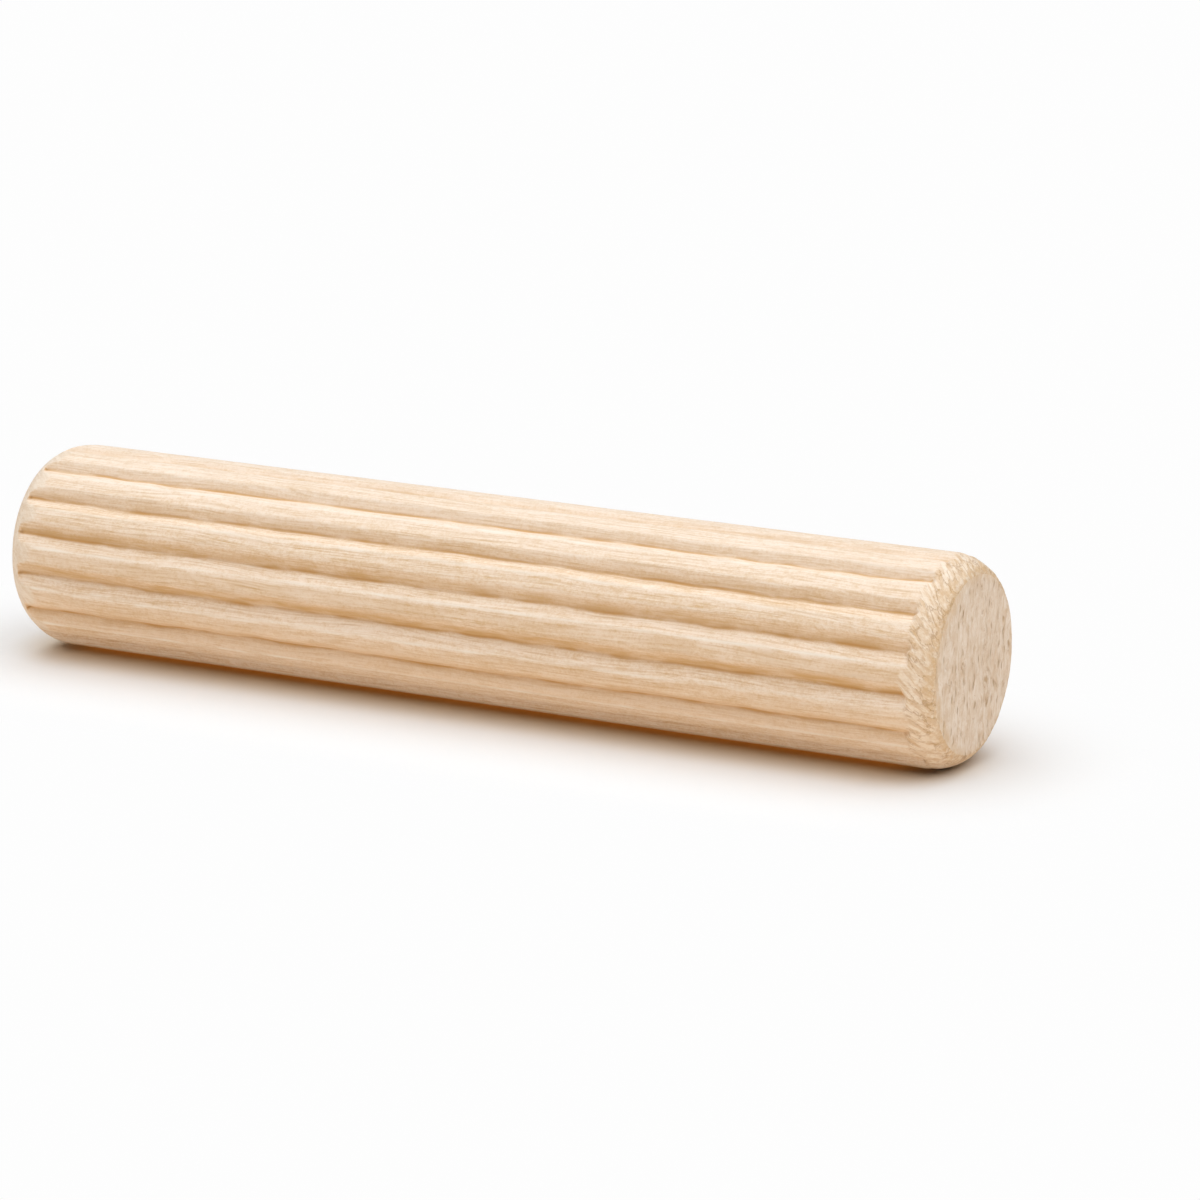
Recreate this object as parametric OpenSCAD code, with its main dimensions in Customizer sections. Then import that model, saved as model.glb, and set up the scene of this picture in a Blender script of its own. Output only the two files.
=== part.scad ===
// Fluted wooden dowel pin, lying on its side along X, with a land straight down.
// The origin is on the surface that it lies on, under the middle of its length.

/* [Pin] */
// Length of the pin over its two flat end faces
pin_l = 30; // [12:1:80]
// Diameter over the lands, which is what fills the drilled hole
pin_d = 6; // [5:0.5:12]

/* [Flutes] */
// Number of flutes round the pin
flute_count = 15; // [8:1:19]
// Depth of a flute below the lands, at its root
flute_depth = 0.27; // [0.1:0.01:0.34]
// Angle between the two flanks of a flute
flute_angle = 112; // [90:1:120]
// Radius in the root of a flute
flute_root_r = 0.08; // [0.03:0.01:0.12]
// Distance from an end face at which the flutes break out of the shoulder
flute_stop = 0.5; // [0.2:0.05:0.7]
// Slope of a flute's floor where it rises to its stop, measured from the pin's axis
flute_stop_slope = 45; // [30:1:60]

/* [Ends] */
// Length of the rounded shoulder at each end
shoulder_l = 0.9; // [0.75:0.05:2]
// How far the shoulder draws in, from the lands to the rim of the flat end face
shoulder_drop = 0.44; // [0.3:0.02:0.7]

/* [Hidden] */

$fn = 96;

// How far a cutter reaches past the surface that it cuts
cut_margin = 0.1;

pin_r = pin_d / 2;
shank_l = pin_l - 2 * shoulder_l;

// The shoulder is an arc that leaves the lands tangentially and ends at the rim of the face
shoulder_r = (pow(shoulder_l, 2) + pow(shoulder_drop, 2)) / (2 * shoulder_drop);

// Flutes are spaced evenly, with a land between two of them straight down
flute_pitch = 360 / flute_count;
root_centre_r = pin_r - flute_depth + flute_root_r;
flank_angle = flute_angle / 2;

// Where a straight flank leaves the round root, across the flute and out from the pin's axis
flank_start = [flute_root_r * cos(flank_angle), root_centre_r - flute_root_r * sin(flank_angle)];
flank_end_r = pin_r + cut_margin;
flank_end = [flank_start[0] + (flank_end_r - flank_start[1]) * tan(flank_angle), flank_end_r];

// Radius of the shoulder at a distance from the end face
function shoulder_radius_at(x) =
    pin_r - shoulder_r + sqrt(pow(shoulder_r, 2) - pow(max(0, shoulder_l - x), 2));

// Corner of the pin's half outline that the shoulder takes away
module shoulder_corner_2d() {
    difference() {
        translate([pin_r - shoulder_drop - cut_margin, shank_l / 2])
            square([shoulder_drop + 2 * cut_margin, shoulder_l + cut_margin]);
        translate([pin_r - shoulder_r, shank_l / 2])
            circle(r = shoulder_r);
    }
}

// The turned blank: half of its outline, revolved about the pin's axis
module blank() {
    rotate_extrude()
        difference() {
            translate([0, -pin_l / 2])
                square([pin_r, pin_l]);
            shoulder_corner_2d();
            mirror([0, 1])
                shoulder_corner_2d();
        }
}

// Section of one flute: two straight flanks that are tangent to a round root
module flute_2d() {
    polygon([
        [-flank_start[0], flank_start[1]],
        [-flank_end[0], flank_end[1]],
        flank_end,
        flank_start
    ]);
    translate([0, root_centre_r])
        circle(r = flute_root_r);
}

// Cone at one end that the flutes' floors climb, so that they stop inside the shoulder
module flute_stop_cone() {
    stop_r = shoulder_radius_at(flute_stop);
    rise = tan(flute_stop_slope);
    inner = flute_stop + (flute_depth + cut_margin) / rise;
    translate([0, 0, pin_l / 2 - inner])
        cylinder(
            h = inner + cut_margin,
            r1 = stop_r - (inner - flute_stop) * rise,
            r2 = stop_r + (flute_stop + cut_margin) * rise
        );
}

// All the flutes, from the stop at one end to the stop at the other
module flutes() {
    difference() {
        linear_extrude(height = pin_l, center = true)
            for (i = [0:flute_count - 1])
                rotate((i + 0.5) * flute_pitch)
                    flute_2d();
        flute_stop_cone();
        mirror([0, 0, 1])
            flute_stop_cone();
    }
}

module dowel_pin() {
    color("burlywood")
        translate([0, 0, pin_r])
            rotate([0, 90, 0])
                rotate(-90)
                    difference() {
                        blank();
                        flutes();
                    }
}

dowel_pin();
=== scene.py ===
import math

import bpy
import numpy as np
from mathutils import Matrix, Vector


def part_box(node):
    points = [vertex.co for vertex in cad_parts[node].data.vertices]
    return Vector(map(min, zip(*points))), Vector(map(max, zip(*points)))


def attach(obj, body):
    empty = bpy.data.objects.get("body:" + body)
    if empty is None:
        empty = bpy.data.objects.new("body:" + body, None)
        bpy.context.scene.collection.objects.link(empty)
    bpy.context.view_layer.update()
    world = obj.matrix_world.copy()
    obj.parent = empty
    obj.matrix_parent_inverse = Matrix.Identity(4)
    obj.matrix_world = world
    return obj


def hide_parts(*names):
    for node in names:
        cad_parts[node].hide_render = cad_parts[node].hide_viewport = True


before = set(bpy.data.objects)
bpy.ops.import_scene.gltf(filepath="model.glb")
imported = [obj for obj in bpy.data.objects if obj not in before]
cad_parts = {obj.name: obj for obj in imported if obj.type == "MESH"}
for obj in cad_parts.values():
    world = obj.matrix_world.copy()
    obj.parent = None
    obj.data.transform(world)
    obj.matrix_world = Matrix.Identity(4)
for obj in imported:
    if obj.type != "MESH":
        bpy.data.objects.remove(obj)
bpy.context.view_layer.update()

# Sizes are in millimetres, as in the part's source, and become metres where a mesh is made
MM = 0.001
LOW, HIGH = (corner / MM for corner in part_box("dowel_pin"))
PIN_L = HIGH.x - LOW.x
PIN_R = 3.0
HALF_L = PIN_L / 2

# The flutes and shoulders, as the part's source has them
FLUTE_COUNT = 15
FLUTE_DEPTH = 0.27
FLANK_ANGLE = 56.0
ROOT_R = 0.08
SHOULDER_L = 0.9
SHOULDER_DROP = 0.44
SHOULDER_R = (SHOULDER_L**2 + SHOULDER_DROP**2) / (2 * SHOULDER_DROP)
FACE_R = PIN_R - SHOULDER_DROP
PITCH_DEGREES = 360 / FLUTE_COUNT
PITCH = math.radians(PITCH_DEGREES)

# Pressed wood isn't even: by how many degrees a flute lies off its place, by its number from the top
# towards the camera, and how far each one wanders from there
FLUTE_LEAN = {0: 4.5, 1: 3.0, 2: 1.5, 4: 0.5, 5: 1.0}
FLUTE_WANDER = math.radians(0.6)

# The tilt from straight up, in radians, at which the flutes are deepest and their painted shade darkest, and
# how far that reaches
STRONG_TILT = 1.50
STRONG_SPREAD = 0.54

# A flute's depth as shares of the part's: the least, what is added where it is strong, and its random wave
LEAST_DEPTH = 0.76
STRONG_DEPTH = 0.26
DEPTH_WAVE = 0.08

# Where the flutes stop, measured from the near and far end faces, and how steeply they rise there
NEAR_STOP = 0.70
NEAR_RAGGED = 0.14
FAR_STOP = 0.36
FAR_RAGGED = 0.04
STOP_SLOPE = 1.1

# Over what length the near shoulder's torn band ends, and between what distances from the far end face the
# zigzag there fades
BAND_FADE = 0.14
ZIGZAG_FADE = (0.78, 1.02)

# The upper and lower edges of a land, as shares of a pitch going down from a flute's root, and the width
# in millimetres over which they are rounded
LAND_TOP = 0.315
LAND_FOOT = 0.71
LAND_EDGE_BLEND = 0.018

# The rim between a shoulder and its end face
RIM_ROUND = 0.05
RIM_R = FACE_R - RIM_ROUND

# How far along the pin a tear in a shoulder runs while it turns by one radian
TEAR_TURN = 3.1

# Small relief in millimetres: the lands' edges, the fibres, the shoulders' tears, cracks and wear, and the
# tips of the flutes. The far shoulder has only a share of the tears and cracks
EDGE_WAVE = 0.010
FIBRE_RELIEF = 0.004
TEAR_RELIEF = 0.013
CRACK_RELIEF = 0.012
SHOULDER_WEAR = 0.014
TIP_DEPTH = 0.02
FAR_TEAR_SHARE = 0.35

# The relief of an end face: the saw's marks and the grain
SAW_RELIEF = 0.008
GRAIN_RELIEF = 0.006

# The mesh: points round the pin, rings along the shank and along each end, and cells across an end face
AROUND = 360
SHANK_RINGS = 140
END_RINGS = 42
END_ZONE = 1.6
GATHER = 0.6
DISC_CELLS = AROUND // 4

# The surface map: where its seam runs, in degrees, how much of it the side takes, and where the end faces lie
SEAM = 250.0
SIDE_UV_SHARE = 0.80
DISC_UV_R = 0.093
DISC_UV_PLACES = {-1: (0.1, 0.9), 1: (0.3, 0.9)}

# The wood's colours, as linear values
PALE = (0.975, 0.820, 0.675, 1)
CREAM = (1.0, 0.89, 0.77, 1)
TAN = (0.815, 0.595, 0.375, 1)
HONEY = (0.655, 0.405, 0.165, 1)
# The flutes' roots: partly the crushed wood's colour, partly painted shade in the recess
ROOT = (0.600, 0.310, 0.095, 1)
UMBER = (0.430, 0.235, 0.090, 1)
PAINTED_UNDERSIDE_SHADE = (0.90, 0.66, 0.43, 1)
PAINTED_TOPSIDE_LIGHT = (0.955, 0.86, 0.775, 1)
LAND_EDGE_HIGHLIGHT = (0.995, 0.90, 0.79, 1)

# The shoulders' colours: torn wood at the near end, cleanly cut wood at the far one
TORN_PALE = (0.98, 0.85, 0.70, 1)
TORN_TAN = (0.70, 0.47, 0.25, 1)
CHIP_CREAM = (1.0, 0.90, 0.78, 1)
CUT_PALE = (0.96, 0.86, 0.74, 1)
CUT_TAN = (0.84, 0.70, 0.55, 1)
RUBBED_GOLD = (0.78, 0.54, 0.30, 1)
SLIT_BROWN = (0.50, 0.28, 0.11, 1)

# The end grain's colours
END_PALE = (0.985, 0.885, 0.790, 1)
END_TAN = (0.810, 0.655, 0.500, 1)
END_CLOUD = (0.76, 0.56, 0.38, 1)
PORE_BROWN = (0.50, 0.31, 0.14, 1)
SPLIT_BROWN = (0.50, 0.31, 0.16, 1)
RIM_GOLD = (0.82, 0.60, 0.37, 1)


def lattice(cells, seed):
    """A repeatable random number from -1 to 1 for each whole-number point."""
    x, y, z = (cells[..., k].astype(np.int64).astype(np.uint64) for k in range(3))
    mix = x * np.uint64(73856093) ^ y * np.uint64(19349663) ^ z * np.uint64(83492791)
    mix = (mix + np.uint64(seed * 2654435761)) & np.uint64(0xFFFFFFFF)
    for shift, factor in ((16, 0x45D9F3B), (16, 0x45D9F3B), (16, 1)):
        mix = ((mix >> np.uint64(shift)) ^ mix) * np.uint64(factor) & np.uint64(0xFFFFFFFF)
    return mix.astype(float) / 0x7FFFFFFF - 1


def noise(points, seed):
    """Smooth noise from -1 to 1 in space, with cells one unit wide."""
    base = np.floor(points)
    part = points - base
    part = part * part * (3 - 2 * part)
    total = np.zeros(points.shape[:-1])
    for corner in np.ndindex(2, 2, 2):
        weight = np.prod(np.where(corner, part, 1 - part), axis=-1)
        total += weight * lattice(base + corner, seed)
    return total


def smoothstep(low, high, value):
    part = np.clip((value - low) / (high - low), 0, 1)
    return part * part * (3 - 2 * part)


def bell(value, width):
    """1 where the value is 0, falling smoothly away over the width."""
    return np.exp(-((value / width) ** 2))


def on_pin(x, phi, r):
    """Points in the pin's own frame. phi is measured from straight up, towards the camera's side."""
    return np.stack(np.broadcast_arrays(x, -r * np.sin(phi), r * np.cos(phi)), -1)


def outline_radius(from_end):
    """Radius of the pin's turned outline at a distance from its end face."""
    inward = np.clip(SHOULDER_L - from_end, 0, SHOULDER_L)
    return PIN_R - SHOULDER_R + np.sqrt(SHOULDER_R**2 - inward**2)


def flute_radius(off, depth):
    """Radius of a flute's section at an angle from its middle: a round root between two straight flanks."""
    flank = math.radians(FLANK_ANGLE)
    centre = PIN_R - depth + ROOT_R
    off = np.abs(off)
    straight = (centre * np.sin(flank) - ROOT_R) / np.sin(np.maximum(flank - off, 0.2))
    inside = np.clip(ROOT_R**2 - (centre * np.sin(off)) ** 2, 0, None)
    round_root = centre * np.cos(off) - np.sqrt(inside)
    in_root = centre * np.sin(off) < ROOT_R * np.cos(flank)
    return np.where(in_root, round_root, straight)


def smooth_min(a, b, blend):
    """The lesser of two radii, with the edge between them rounded off."""
    part = np.clip(0.5 + 0.5 * (b - a) / blend, 0, 1)
    return b + (a - b) * part - blend * part * (1 - part)


def gather(angle):
    """Angles in degrees, drawn together at the flutes' roots, where the section turns most."""
    return angle - GATHER * PITCH_DEGREES / math.tau * np.sin(math.tau * angle / PITCH_DEGREES)


def flute_place(x, phi, strong):
    """Each point's angle from the middle of its own flute, and that flute's depth there."""
    number = np.round(phi / PITCH)
    each = np.stack([x / 5, number * 9.7, 0 * x], -1)
    off = phi - number * PITCH
    for flute, degrees in FLUTE_LEAN.items():
        off = off - math.radians(degrees) * (np.mod(number, FLUTE_COUNT) == flute)
    off = off + FLUTE_WANDER * noise(each, 3)
    off = off + FLUTE_WANDER * noise(each * [6, 1, 1], 15)
    share = LEAST_DEPTH + STRONG_DEPTH * strong + DEPTH_WAVE * noise(each * [1.7, 1, 1], 4)
    return off, FLUTE_DEPTH * share


def stop_places(x, unit):
    """How far from its end face the flutes stop at each point, and how ragged that line is there."""
    side = np.sign(x)[..., None]
    ragged = noise(unit * 5 + side * 31, 6) + 0.75 * noise(unit * 17 + side * 17, 7)
    return np.where(x > 0, NEAR_STOP + NEAR_RAGGED * ragged, FAR_STOP + FAR_RAGGED * ragged), ragged


def crush_and_shade_share(across, from_root, tilt, strong):
    """Painted shade across a pitch, partly the darkening of crushed wood: a little on the land, most at the
    root.
    """
    # Painted shade on the lower part of each land and on the flank below it, which faces down on the camera's
    # side
    early = 0.06 * smoothstep(1.4, 1.7, tilt)
    land = 0.40 * smoothstep(0.33, 0.44, across) * smoothstep(1.0, 1.35, tilt)
    flank = smoothstep(LAND_FOOT - early, LAND_FOOT + 0.22 - early, across)
    crushed = land + (1 - land) * flank
    crushed = np.maximum(crushed, 1 - smoothstep(0.0, 0.045, across))
    # More painted shade where the pin's side turns away from the light
    crushed = crushed * (0.28 + 0.72 * strong)
    return np.maximum(crushed, 0.75 * bell(from_root, 0.06))


def torn_height(x, phi, along, unit):
    """Height of the torn fibres on a shoulder: strong at the near end, faint at the far one."""
    wound = on_pin(0 * x, phi - x / TEAR_TURN, 1.0)
    torn = noise(along * 2.5 + wound * 22, 10) + 0.8 * noise(along * 8 + unit * 34, 11)
    crack = smoothstep(0.35, 0.75, noise(along * 1.2 + wound * 24, 12))
    return np.where(x > 0, 1.0, FAR_TEAR_SHARE) * (TEAR_RELIEF * (torn - 0.6) - CRACK_RELIEF * crack)


def surface(x, phi):
    """Radius of the pin's side at each point, and the masks by which its material mixes its colours."""
    from_end = HALF_L - np.abs(x)
    unit = on_pin(0 * x, phi, 1.0)
    along = np.stack([x, 0 * x, 0 * x], -1)
    tilt = np.arccos(np.clip(np.cos(phi), -1, 1))
    strong = bell(tilt - STRONG_TILT, STRONG_SPREAD)
    off, depth = flute_place(x, phi, strong)
    flute = flute_radius(off, depth) + EDGE_WAVE * noise(along * 0.9 + unit * 6, 5)

    outline = outline_radius(from_end)
    outline = outline - RIM_ROUND * np.clip(1 - from_end / (1.6 * RIM_ROUND), 0, 1) ** 2
    stop_place, ragged = stop_places(x, unit)
    flute = np.maximum(flute, outline_radius(stop_place) - (from_end - stop_place) * STOP_SLOPE)
    radius = smooth_min(flute, outline, LAND_EDGE_BLEND)

    # Where only the turned outline is left: a ragged band at the near end, a zigzag at the far one
    band = 1 - smoothstep(0.0, BAND_FADE, from_end - stop_place)
    turned = smoothstep(-0.012, 0.012, flute - outline)
    zigzag = turned * (1 - smoothstep(*ZIGZAG_FADE, from_end + 0.07 * ragged))
    shoulder = np.where(x > 0, band, zigzag)
    shank = 1 - shoulder

    across = np.mod(off / PITCH + 0.016 * noise(along * 1.6 + unit * 26, 16), 1)
    from_root = np.minimum(across, 1 - across)
    tip = bell(from_root, 0.035) * bell(from_end - stop_place - 0.07, 0.04) * (x < 0)
    masks = {
        "crushed": crush_and_shade_share(across, from_root, tilt, strong) * shank,
        "crease": bell(from_root, 0.036) * shank,
        # A painted highlight along each land's upper edge
        "edge": bell(across - LAND_TOP, 0.028) * shank,
        "shoulder": shoulder,
        "tip": tip,
    }

    fibre = noise(along * 0.6 + unit * 20, 8) + 0.7 * noise(along * 2.2 + unit * 42, 9)
    radius = radius + FIBRE_RELIEF * (fibre - 0.4) * shank
    radius = radius + shoulder * torn_height(x, phi, along, unit)
    radius = radius - SHOULDER_WEAR * shoulder * smoothstep(0.05, 0.35, from_end) - TIP_DEPTH * tip
    return radius, masks


def ring_places():
    """Places of the mesh's rings along the pin, closer together at its ends."""
    share = np.linspace(0, 1, END_RINGS + 1)
    end = END_ZONE * share**1.25
    shank = np.linspace(-HALF_L + END_ZONE, HALF_L - END_ZONE, SHANK_RINGS + 1)
    return np.concatenate([-HALF_L + end[:-1], shank, (HALF_L - end[:-1])[::-1]])


def disc_grid(n):
    """A square grid drawn into a round disc of radius 1."""
    step = np.linspace(-1, 1, n + 1)
    a, b = np.meshgrid(step, step, indexing="ij")
    far = np.maximum(np.abs(a), np.abs(b))
    far_safe = np.where(far == 0, 1, far)
    wide = np.abs(a) >= np.abs(b)
    ratio = np.where(wide, b / far_safe * np.sign(a + (a == 0)), a / far_safe * np.sign(b + (b == 0)))
    turn = ratio * math.pi / 4
    u = np.where(wide, np.sign(a) * far * np.cos(turn), np.sign(b) * far * np.sin(turn))
    v = np.where(wide, np.sign(a) * far * np.sin(turn), np.sign(b) * far * np.cos(turn))
    return u, v


def grid_quads(grid):
    """The four corners of each cell of a grid of values."""
    return np.stack([grid[:-1, :-1], grid[1:, :-1], grid[1:, 1:], grid[:-1, 1:]], 2)


def face_relief(y, z, seed):
    """Depth of the saw's marks and the grain on an end face, never above the flat of it."""
    spots = np.stack([y * 7, z * 1.1, 0 * y + seed], -1)
    relief = SAW_RELIEF * noise(spots, 13) + GRAIN_RELIEF * noise(spots * [1.9, 2.5, 1], 14)
    return np.minimum(relief - SAW_RELIEF, 0)


def end_face(sign, rim_ring, start):
    """One flat end face: its faces, its inner points and its map. Its rim is the side's last ring."""
    u, v = disc_grid(DISC_CELLS)
    on_rim = np.zeros(u.shape, bool)
    on_rim[[0, -1], :] = True
    on_rim[:, [0, -1]] = True
    # The rim's points are matched to the last ring's by their angle
    angle = np.degrees(np.arctan2(-u, v))
    column = np.round((angle - SEAM) / 360 * AROUND).astype(int) % AROUND
    ids = np.zeros(u.shape, int)
    ids[on_rim] = rim_ring[column[on_rim]]
    ids[~on_rim] = start + np.arange((~on_rim).sum())
    # The face's points turn with the rim's, so that they meet it evenly
    far = np.hypot(u, v)
    angle = np.radians(angle + (gather(angle) - angle) * far**4)
    y = -RIM_R * far * np.sin(angle)
    z = RIM_R * far * np.cos(angle)
    lift = face_relief(y, z, 5.0 * sign) * (1 - far**12)
    points = np.stack([sign * (HALF_L + lift), y, z], -1)[~on_rim]
    quads = grid_quads(ids).reshape(-1, 4)
    uvs = grid_quads(np.stack([u, v], -1) * DISC_UV_R + DISC_UV_PLACES[sign]).reshape(-1, 4, 2)
    if sign < 0:
        return quads[:, ::-1], points, uvs[:, ::-1]
    return quads, points, uvs


def side_map(x):
    """The side unrolled into a rectangle: along the pin, and round it from the seam."""
    u = (x - x[0, 0]) / PIN_L
    v = np.broadcast_to(np.arange(AROUND) / AROUND, x.shape)[:-1]
    after = v + 1 / AROUND
    corners = [(u[:-1], v), (u[:-1], after), (u[1:], after), (u[1:], v)]
    uvs = np.stack([np.stack(corner, -1) for corner in corners], 2)
    return (uvs * [1, SIDE_UV_SHARE]).reshape(-1, 4, 2)


def build_pin():
    """The pin's points, faces, map and material slots, and its masks by name."""
    angles = np.radians(gather(np.arange(AROUND) * 360 / AROUND + SEAM))
    x, phi = np.meshgrid(ring_places(), angles, indexing="ij")
    radius, side_masks = surface(x, phi)
    masks = {name: [values.ravel()] for name, values in side_masks.items()}
    index = np.arange(x.size).reshape(x.shape)
    after = np.roll(index, -1, axis=1)
    points = [on_pin(x, phi, radius).reshape(-1, 3)]
    quads = [np.stack([index[:-1], after[:-1], after[1:], index[1:]], -1).reshape(-1, 4)]
    uvs = [side_map(x)]
    slots = [np.zeros(len(quads[0]), int)]
    for sign, rim_ring in ((-1, index[0]), (1, index[-1])):
        face_quads, face_points, face_uvs = end_face(sign, rim_ring, sum(map(len, points)))
        points.append(face_points)
        quads.append(face_quads)
        uvs.append(face_uvs)
        slots.append(np.ones(len(face_quads), int))
        for name, values in masks.items():
            values.append(np.full(len(face_points), float(name == "shoulder")))
    masks = {name: np.concatenate(values) for name, values in masks.items()}
    return *map(np.concatenate, (points, quads, uvs, slots)), masks


def pin_mesh():
    points, quads, uvs, slots, masks = build_pin()
    points = np.clip(points + [0, 0, PIN_R], tuple(LOW), tuple(HIGH)) * MM
    mesh = bpy.data.meshes.new("dowel_pin_wood")
    mesh.from_pydata(points.tolist(), [], quads.tolist())
    mesh.update()
    mesh.polygons.foreach_set("material_index", slots.astype(np.int32))
    mesh.polygons.foreach_set("use_smooth", np.ones(len(quads), bool))
    layer = mesh.uv_layers.new(name="OFBake")
    layer.data.foreach_set("uv", uvs.reshape(-1).astype(np.float32))
    for name, values in masks.items():
        attribute = mesh.attributes.new(name, "FLOAT", "POINT")
        attribute.data.foreach_set("value", values.astype(np.float32))
    return mesh


class Shader:
    """A material's nodes, made and joined by short calls."""

    def __init__(self, name):
        self.material = bpy.data.materials.new(name)
        self.material.use_nodes = True
        self.tree = self.material.node_tree
        self.tree.nodes.clear()

    def add(self, kind, inputs=(), output=0, **settings):
        """Makes a node. inputs maps a socket's name or number to a value or to another node's output."""
        node = self.tree.nodes.new(kind)
        for key, value in settings.items():
            setattr(node, key, value)
        for key, value in dict(inputs).items():
            if isinstance(value, bpy.types.NodeSocket):
                self.tree.links.new(value, node.inputs[key])
            else:
                node.inputs[key].default_value = value
        return node.outputs[output]

    def math(self, operation, a, b=0.5, c=0.5):
        return self.add("ShaderNodeMath", {0: a, 1: b, 2: c}, operation=operation)

    def times(self, *values):
        """The product of two or more values."""
        product = values[0]
        for value in values[1:]:
            product = self.math("MULTIPLY", product, value)
        return product

    def total(self, *weighted):
        """The sum of values, each given with its weight."""
        value, weight = weighted[0]
        result = self.math("MULTIPLY", value, weight)
        for value, weight in weighted[1:]:
            result = self.math("MULTIPLY_ADD", value, weight, result)
        return result

    def vector(self, operation, a, b=(0, 0, 0), output=0):
        return self.add("ShaderNodeVectorMath", {0: a, 1: b}, output=output, operation=operation)

    def noise(self, vector, scale, place=(0, 0, 0), detail=2.0, roughness=0.5):
        """Noise with so many cells to a unit along each axis."""
        vector = self.stretch(vector, scale, place)
        return self.add("ShaderNodeTexNoise", {"Vector": vector, "Scale": 1.0, "Detail": detail,
                                               "Roughness": roughness})

    def stretch(self, vector, scale, place=(0, 0, 0), turn=(0, 0, 0)):
        return self.add("ShaderNodeMapping", {"Vector": vector, "Scale": scale, "Location": place,
                                              "Rotation": turn})

    def ramp(self, value, low, high, to_low=0.0, to_high=1.0):
        return self.add("ShaderNodeMapRange", {"Value": value, "From Min": low, "From Max": high,
                                               "To Min": to_low, "To Max": to_high},
                        interpolation_type="SMOOTHSTEP")

    def line(self, value, width):
        """1 along the lines where a noise crosses its middle value, and 0 away from them."""
        return self.ramp(self.math("ABSOLUTE", self.math("SUBTRACT", value, 0.5)), 0.0, width, 1, 0)

    def mix(self, share, a, b):
        return self.add("ShaderNodeMix", {0: share, 6: a, 7: b}, output=2, data_type="RGBA")

    def mask(self, name):
        return self.add("ShaderNodeAttribute", output=2, attribute_name=name)

    def axis(self, vector, number):
        return self.add("ShaderNodeSeparateXYZ", {0: vector}, output=number)

    def off_axis(self, mm):
        """Distance from the pin's own axis."""
        return self.vector("LENGTH", self.stretch(mm, (0, 1, 1), place=(0, 0, -PIN_R)), output=1)

    def wood(self, colour, rough, height, strength, distance, specular):
        bump = self.add("ShaderNodeBump", {"Height": height, "Strength": strength, "Distance": distance * MM})
        body = self.add("ShaderNodeBsdfPrincipled", {"Base Color": colour, "Roughness": rough, "Normal": bump,
                                                     "Specular IOR Level": specular})
        return self.finish(body)

    def finish(self, surface):
        output = self.tree.nodes.new("ShaderNodeOutputMaterial")
        self.tree.links.new(surface, output.inputs["Surface"])
        return self.material


def seen_rays(shader):
    """1 for what the camera sees, straight or by a mirror or glass, and 0 for the light's other bounces."""
    path = shader.tree.nodes.new("ShaderNodeLightPath")
    seen = shader.math("MAXIMUM", path.outputs["Is Camera Ray"], path.outputs["Is Glossy Ray"])
    return shader.math("MAXIMUM", seen, path.outputs["Is Transmission Ray"])


def fibre_frame(s, mm):
    """Places in which the fibres lie straight. In the wood they wander a little from the pin's direction."""
    wander = s.math("MULTIPLY_ADD", s.noise(mm, (0.13, 0.4, 0.4), detail=1), 0.5, -0.25)
    ripple = s.math("MULTIPLY_ADD", s.noise(mm, (1.1, 2.0, 2.0), (9, 2, 4), detail=1), 0.02, -0.01)
    shift = s.math("ADD", wander, ripple)
    return s.vector("ADD", mm, s.add("ShaderNodeCombineXYZ", {1: shift, 2: shift}))


def grain_layers(s, grain):
    """The wood's noises, from broad bands to single fibres."""
    thread = s.noise(grain, (0.16, 6.5, 6.5), (2, 9, 2), roughness=0.6)
    return {
        "broad": s.noise(grain, (0.12, 0.9, 0.9), detail=3, roughness=0.6),
        "long": s.noise(grain, (0.20, 9, 9), detail=4, roughness=0.78),
        "short": s.noise(grain, (1.0, 16, 16), (1, 8, 3), roughness=0.7),
        "mottle": s.noise(grain, (3.6, 5.0, 5.0), (4, 1, 6), detail=3, roughness=0.7),
        "fine": s.noise(grain, (11, 15, 15), (2, 2, 5), roughness=0.8),
        "dash": s.noise(grain, (0.5, 17, 17), (3, 5, 7), detail=1),
        "comb": s.noise(grain, (0.55, 20, 20), (5, 3, 8), detail=1),
        "thread": s.line(thread, 0.030),
    }


def grain_colour(s, layers, up):
    """Bare wood: pale and tan streaks, darker pores and threads, with painted shade towards the pin's
    underside and painted light on its top.
    """
    tone = s.total((layers["broad"], 0.13), (layers["long"], 0.20), (layers["short"], 0.12),
                   (layers["mottle"], 0.27), (layers["fine"], 0.28))
    colour = s.mix(s.ramp(tone, 0.43, 0.63), PALE, TAN)
    colour = s.mix(s.ramp(layers["comb"], 0.50, 0.72, 0, 0.34), colour, HONEY)
    colour = s.mix(s.ramp(layers["comb"], 0.28, 0.48, 0.40, 0), colour, CREAM)
    colour = s.mix(s.times(layers["thread"], s.ramp(layers["broad"], 0.4, 0.65, 0.12, 0.45)), colour, HONEY)
    colour = s.mix(s.ramp(layers["dash"], 0.65, 0.74, 0, 0.45), colour, HONEY)
    # Painted shade: tan towards the pin's underside
    low = s.times(s.ramp(up, 2.3, 1.4, 0, 0.40), s.ramp(up, 0.95, 1.25, 0.15, 1.0))
    colour = s.mix(low, colour, PAINTED_UNDERSIDE_SHADE)
    # Painted light: paler on the pin's top
    return s.mix(s.ramp(up, 4.8, 5.9, 0, 0.22), colour, PAINTED_TOPSIDE_LIGHT)


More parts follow.
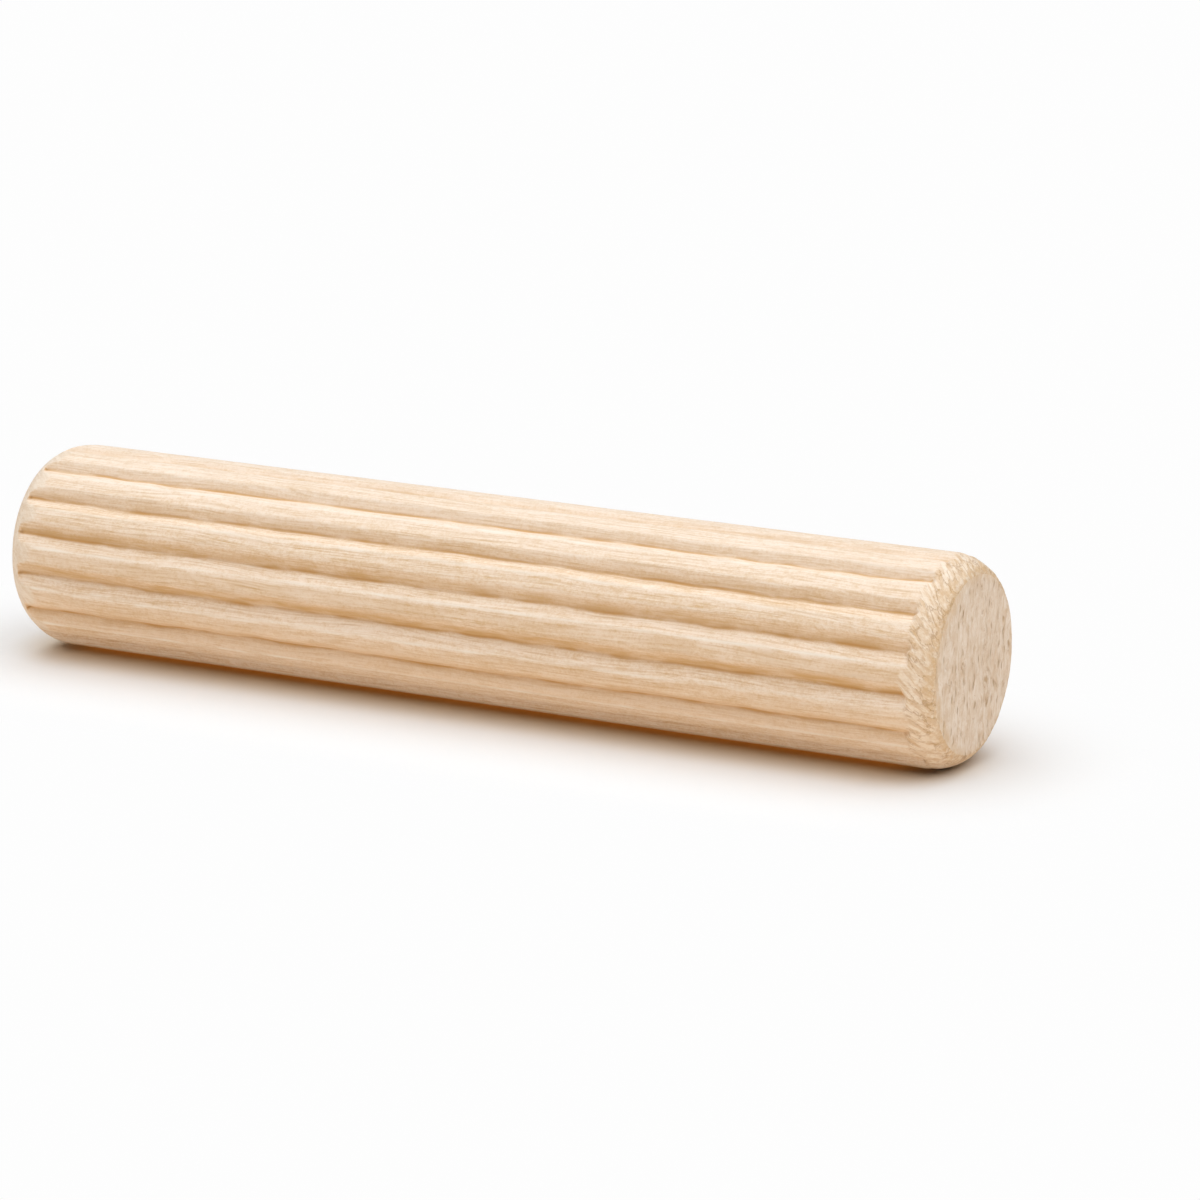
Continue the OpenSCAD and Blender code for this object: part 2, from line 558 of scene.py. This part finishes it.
def flute_shade_and_stains(s, colour, grain):
    """Painted shade in the flutes, partly crushed wood's own colour, darker and warmer in patches. A land's
    upper edge gets a painted highlight.
    """
    patchy = s.noise(grain, (0.7, 2.5, 2.5), (6, 6, 1))
    # Painted shade in the flutes, partly crushed wood's own colour
    colour = s.mix(s.times(s.mask("crushed"), s.ramp(patchy, 0.34, 0.66, 0.42, 0.95)), colour, HONEY)
    # Painted highlight along each land's upper edge
    colour = s.mix(s.times(s.mask("edge"), s.ramp(patchy, 0.35, 0.6, 1.0, 0.45)), colour, LAND_EDGE_HIGHLIGHT)
    # The roots: partly the crushed wood's colour, partly painted shade in the recess
    return s.mix(s.times(s.mask("crease"), s.ramp(patchy, 0.35, 0.65, 0.20, 0.85)), colour, ROOT)


def shoulder_chips(s, mm, along, mottle):
    """Torn wood that winds round the shoulders: its streaks, and its chips' edges and their random tones."""
    turn = s.math("MULTIPLY", along, -1 / TEAR_TURN)
    wound = s.add("ShaderNodeVectorRotate", {"Vector": mm, "Center": (0, 0, PIN_R), "Angle": turn},
                  rotation_type="X_AXIS")
    tear = s.noise(wound, (1.4, 6.0, 6.0), detail=3, roughness=0.65)
    bend = s.add("ShaderNodeCombineXYZ", {0: s.times(mottle, 0.6), 1: s.times(tear, 0.5)})
    cells = {"Vector": s.stretch(s.vector("ADD", wound, bend), (1.6, 3.4, 3.4)), "Scale": 1.0}
    chip_edge = s.add("ShaderNodeTexVoronoi", cells, feature="DISTANCE_TO_EDGE")
    chip_tone = s.axis(s.add("ShaderNodeTexVoronoi", cells, output=1), 0)
    return tear, chip_edge, chip_tone


def side_material():
    s = Shader("beech_side")
    mm = s.stretch(s.add("ShaderNodeTexCoord", output=3), (1 / MM,) * 3)
    along = s.axis(mm, 0)
    near_end = s.ramp(along, -1.0, 1.0)
    shoulder = s.mask("shoulder")
    grain = fibre_frame(s, mm)
    layers = grain_layers(s, grain)
    colour = grain_colour(s, layers, s.axis(mm, 2))
    colour = flute_shade_and_stains(s, colour, grain)

    # The near shoulder is torn into chips, and the far one is cut clean
    tear, chip_edge, chip_tone = shoulder_chips(s, mm, along, layers["mottle"])
    in_patches = s.ramp(s.noise(mm, (2.5, 2.5, 2.5), (7, 7, 7)), 0.38, 0.56, 0.15, 1.0)
    chipped = s.times(in_patches, s.times(shoulder, near_end))
    slit = s.times(s.ramp(chip_edge, 0.0, 0.08, 0.58, 0), chipped)
    torn = s.mix(s.ramp(tear, 0.40, 0.60), TORN_PALE, TORN_TAN)
    torn = s.mix(s.ramp(chip_tone, 0.2, 0.8, 0.0, 0.20), torn, CHIP_CREAM)
    clean = s.mix(s.ramp(tear, 0.38, 0.62), CUT_PALE, CUT_TAN)
    colour = s.mix(s.times(shoulder, 0.60), colour, s.mix(near_end, clean, torn))
    rubbed = s.times(s.ramp(s.off_axis(mm), 2.86, 2.62), s.ramp(layers["mottle"], 0.40, 0.6, 0.1, 0.7))
    colour = s.mix(s.times(rubbed, near_end, shoulder), colour, RUBBED_GOLD)
    colour = s.mix(slit, colour, SLIT_BROWN)
    colour = s.mix(s.times(s.mask("tip"), 0.75), colour, UMBER)

    height = s.total((layers["long"], 0.4), (layers["short"], 0.3), (layers["fine"], 0.6),
                     (s.times(chip_tone, chipped), 0.5), (slit, -0.6), (layers["thread"], -0.12),
                     (layers["comb"], -0.35), (s.times(tear, shoulder), 0.8))
    rough = s.ramp(layers["short"], 0.3, 0.8, 0.56, 0.72)
    return s.wood(colour, rough, height, strength=0.6, distance=0.03, specular=0.3)


def end_pores(s, mm):
    """Vessels, cut across: small dark ovals in about half of the cells of a drawn-out pattern."""
    flat = s.add("ShaderNodeCombineXYZ", {0: s.times(s.axis(mm, 1), 4.0), 1: s.times(s.axis(mm, 2), 1.35)})
    cells = s.tree.nodes.new("ShaderNodeTexVoronoi")
    cells.voronoi_dimensions = "2D"
    cells.inputs["Scale"].default_value = 1.0
    s.tree.links.new(flat, cells.inputs["Vector"])
    chosen = s.ramp(s.axis(cells.outputs["Color"], 0), 0.35, 0.75)
    return s.times(s.ramp(cells.outputs["Distance"], 0.06, 0.24, 1, 0), chosen)


def end_material():
    s = Shader("beech_end_grain")
    straight = s.stretch(s.add("ShaderNodeTexCoord", output=3), (1 / MM,) * 3, turn=(math.radians(3), 0, 0))
    bend = s.noise(straight, (0.5, 1.6, 1.2), (0, 3, 3), detail=3)
    bend = s.math("MULTIPLY_ADD", bend, 0.7, -0.35)
    mm = s.vector("ADD", straight, s.add("ShaderNodeCombineXYZ", {1: bend}))
    lines = s.noise(mm, (0.5, 10.0, 2.0), detail=3, roughness=0.75)
    cloud = s.noise(mm, (0.5, 3.2, 2.0), (0, 4, 1), detail=4, roughness=0.75)
    colour = s.mix(s.ramp(lines, 0.30, 0.74), END_PALE, END_TAN)
    colour = s.mix(s.ramp(cloud, 0.42, 0.66, 0, 0.50), colour, END_CLOUD)
    pore = end_pores(s, mm)
    colour = s.mix(s.times(pore, 0.66), colour, PORE_BROWN)
    split = s.line(s.noise(mm, (0.5, 4.6, 0.45), (0, 2, 8)), 0.016)
    split = s.times(split, s.ramp(cloud, 0.45, 0.6))
    colour = s.mix(s.times(split, 0.55), colour, SPLIT_BROWN)

    # Towards the rim the face is rubbed golden
    rubbed = s.times(s.ramp(s.off_axis(mm), 2.25, 2.55), s.ramp(cloud, 0.35, 0.6, 0.15, 0.6))
    colour = s.mix(rubbed, colour, RIM_GOLD)
    height = s.total((lines, 0.7), (cloud, 0.4), (pore, -1.0), (split, -0.5))
    return s.wood(colour, 0.7, height, strength=0.7, distance=0.04, specular=0.25)


def make_pin():
    mesh = pin_mesh()
    mesh.materials.append(side_material())
    mesh.materials.append(end_material())
    pin = bpy.data.objects.new("dowel_pin_wood", mesh)
    bpy.context.scene.collection.objects.link(pin)
    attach(pin, "root")
    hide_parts("dowel_pin")


# The camera, fitted to the photograph: its direction, its distance and where the pin lies in its frame
VIEW_AZIMUTH = math.radians(28.507)
VIEW_ELEVATION = math.radians(14.270)
PIN_IN_VIEW = Vector((-2.954, -0.003, 153.29)) * MM
FOCAL_PIXELS = 5355
FRAME_PIXELS = 1200
SENSOR = 36.0
CLIP_NEAR = 0.01
CLIP_FAR = 20


def make_camera():
    sin_a, cos_a = math.sin(VIEW_AZIMUTH), math.cos(VIEW_AZIMUTH)
    sin_e, cos_e = math.sin(VIEW_ELEVATION), math.cos(VIEW_ELEVATION)
    right = Vector((cos_a, sin_a, 0))
    forward = Vector((-sin_a * cos_e, cos_a * cos_e, -sin_e))
    up = right.cross(forward)
    pin_centre = Vector((0, 0, PIN_R * MM))
    place = pin_centre - PIN_IN_VIEW.x * right - PIN_IN_VIEW.y * up - PIN_IN_VIEW.z * forward
    data = bpy.data.cameras.new("camera")
    data.sensor_width = SENSOR
    data.lens = SENSOR * FOCAL_PIXELS / FRAME_PIXELS
    data.clip_start = CLIP_NEAR
    data.clip_end = CLIP_FAR
    camera = bpy.data.objects.new("camera", data)
    turn = Matrix((right, up, -forward)).transposed().to_4x4()
    camera.matrix_world = Matrix.Translation(place) @ turn
    bpy.context.scene.collection.objects.link(camera)
    bpy.context.scene.camera = camera


# The floor's size in metres, its colour for the light's bounces, its painted shadow's colours going away from
# the pin, the painted warm glow at the contact, and the white that the camera sees away from the pin
FLOOR_SIZE = 6.0
WARM_PAPER = (0.96, 0.85, 0.73, 1)
PAINTED_CONTACT_SHADOW = (1.00, 0.70, 0.42, 1)
PAINTED_SHADOW_PAPER = (0.70, 0.595, 0.455, 1)
WHITE_PAPER = (0.885, 0.89, 0.895, 1)
CONTACT_GLOW = (0.043, 0.018, 0.002, 1)
BACKGROUND = (0.985, 0.985, 0.985, 1)

# The stretch of the pin's axis that the shadow's colours are measured from: its middle and half its length
SHADE_MIDDLE = -0.3
SHADE_HALF = 12.9

# Between what distances from that stretch the painted contact shadow, the painted shadow and the painted glow
# end, and the white begins. The light's bounces see more of the glow than the camera does
CONTACT_FADE = (0.1, 1.0)
SHADE_FADE = (1.0, 3.3)
GLOW_FADE = (0.5, 1.7)
WHITE_RISE = (2.8, 8.5)
BOUNCED_GLOW = 3.2


def by_distance(s, distance, ends, to_low=0.0, to_high=1.0):
    """A ramp from one value to the other between two distances in millimetres."""
    return s.ramp(distance, ends[0] * MM, ends[1] * MM, to_low, to_high)


def floor_material():
    """Pale paper. Away from the pin the camera sees it evenly white, and near the pin it keeps its shadow,
    with a painted warm shadow and a painted glow laid over it.
    """
    s = Shader("pale_floor")
    away = s.vector("SUBTRACT", s.add("ShaderNodeNewGeometry"), (SHADE_MIDDLE * MM, 0, 0))
    away = s.vector("SUBTRACT", s.vector("ABSOLUTE", away), (SHADE_HALF * MM, 0, 0))
    distance = s.vector("LENGTH", s.vector("MAXIMUM", away), output=1)
    seen = seen_rays(s)
    # Painted shadow: the paper the camera sees turns warm and dark near the pin
    painted_shadow = s.mix(by_distance(s, distance, CONTACT_FADE), PAINTED_CONTACT_SHADOW, PAINTED_SHADOW_PAPER)
    painted_shadow = s.mix(by_distance(s, distance, SHADE_FADE), painted_shadow, WHITE_PAPER)
    paper = s.add("ShaderNodeBsdfDiffuse", {"Color": s.mix(seen, WARM_PAPER, painted_shadow)})

    # Painted glow: near the contact the paper gives off a warm light, which the camera sees and which lights
    # the pin's underside more strongly
    close = s.times(by_distance(s, distance, GLOW_FADE, 1, 0), s.ramp(seen, 0, 1, BOUNCED_GLOW, 1.0))
    painted_glow = s.add("ShaderNodeEmission", {"Color": CONTACT_GLOW, "Strength": close})
    paper = s.add("ShaderNodeAddShader", {0: paper, 1: painted_glow})
    white = s.times(by_distance(s, distance, WHITE_RISE), seen)
    glow = s.add("ShaderNodeEmission", {"Color": BACKGROUND, "Strength": 1.0})
    return s.finish(s.add("ShaderNodeMixShader", {0: white, 1: paper, 2: glow}))


def make_floor():
    half = FLOOR_SIZE / 2
    mesh = bpy.data.meshes.new("floor")
    corners = [(-half, -half, 0), (half, -half, 0), (half, half, 0), (-half, half, 0)]
    mesh.from_pydata(corners, [], [(0, 1, 2, 3)])
    mesh.materials.append(floor_material())
    floor = bpy.data.objects.new("floor", mesh)
    bpy.context.scene.collection.objects.link(floor)


# One large softbox, in metres and watts, and a dim even sky
SOFTBOX_SIZE = 0.44
SOFTBOX_PLACE = (0.035, -0.06, 0.19)
SOFTBOX_WATTS = 1.00
SKY = (0.10, 0.10, 0.10, 1)
WHITE = (1, 1, 1, 1)


def make_softbox():
    data = bpy.data.lights.new("softbox", "AREA")
    data.shape = "SQUARE"
    data.size = SOFTBOX_SIZE
    data.energy = SOFTBOX_WATTS
    softbox = bpy.data.objects.new("softbox", data)
    softbox.location = SOFTBOX_PLACE
    bpy.context.scene.collection.objects.link(softbox)


def make_sky():
    """A dim sky for the light, which the camera sees as white above the floor's far edge."""
    world = bpy.data.worlds.new("studio")
    world.use_nodes = True
    tree = world.node_tree
    path = tree.nodes.new("ShaderNodeLightPath")
    mix = tree.nodes.new("ShaderNodeMix")
    mix.data_type = "RGBA"
    mix.inputs[6].default_value = SKY
    mix.inputs[7].default_value = WHITE
    tree.links.new(path.outputs["Is Camera Ray"], mix.inputs[0])
    tree.links.new(mix.outputs[2], tree.nodes["Background"].inputs["Color"])
    bpy.context.scene.world = world


make_camera()
make_pin()
make_floor()
make_softbox()
make_sky()
bpy.context.scene.view_settings.view_transform = "Standard"
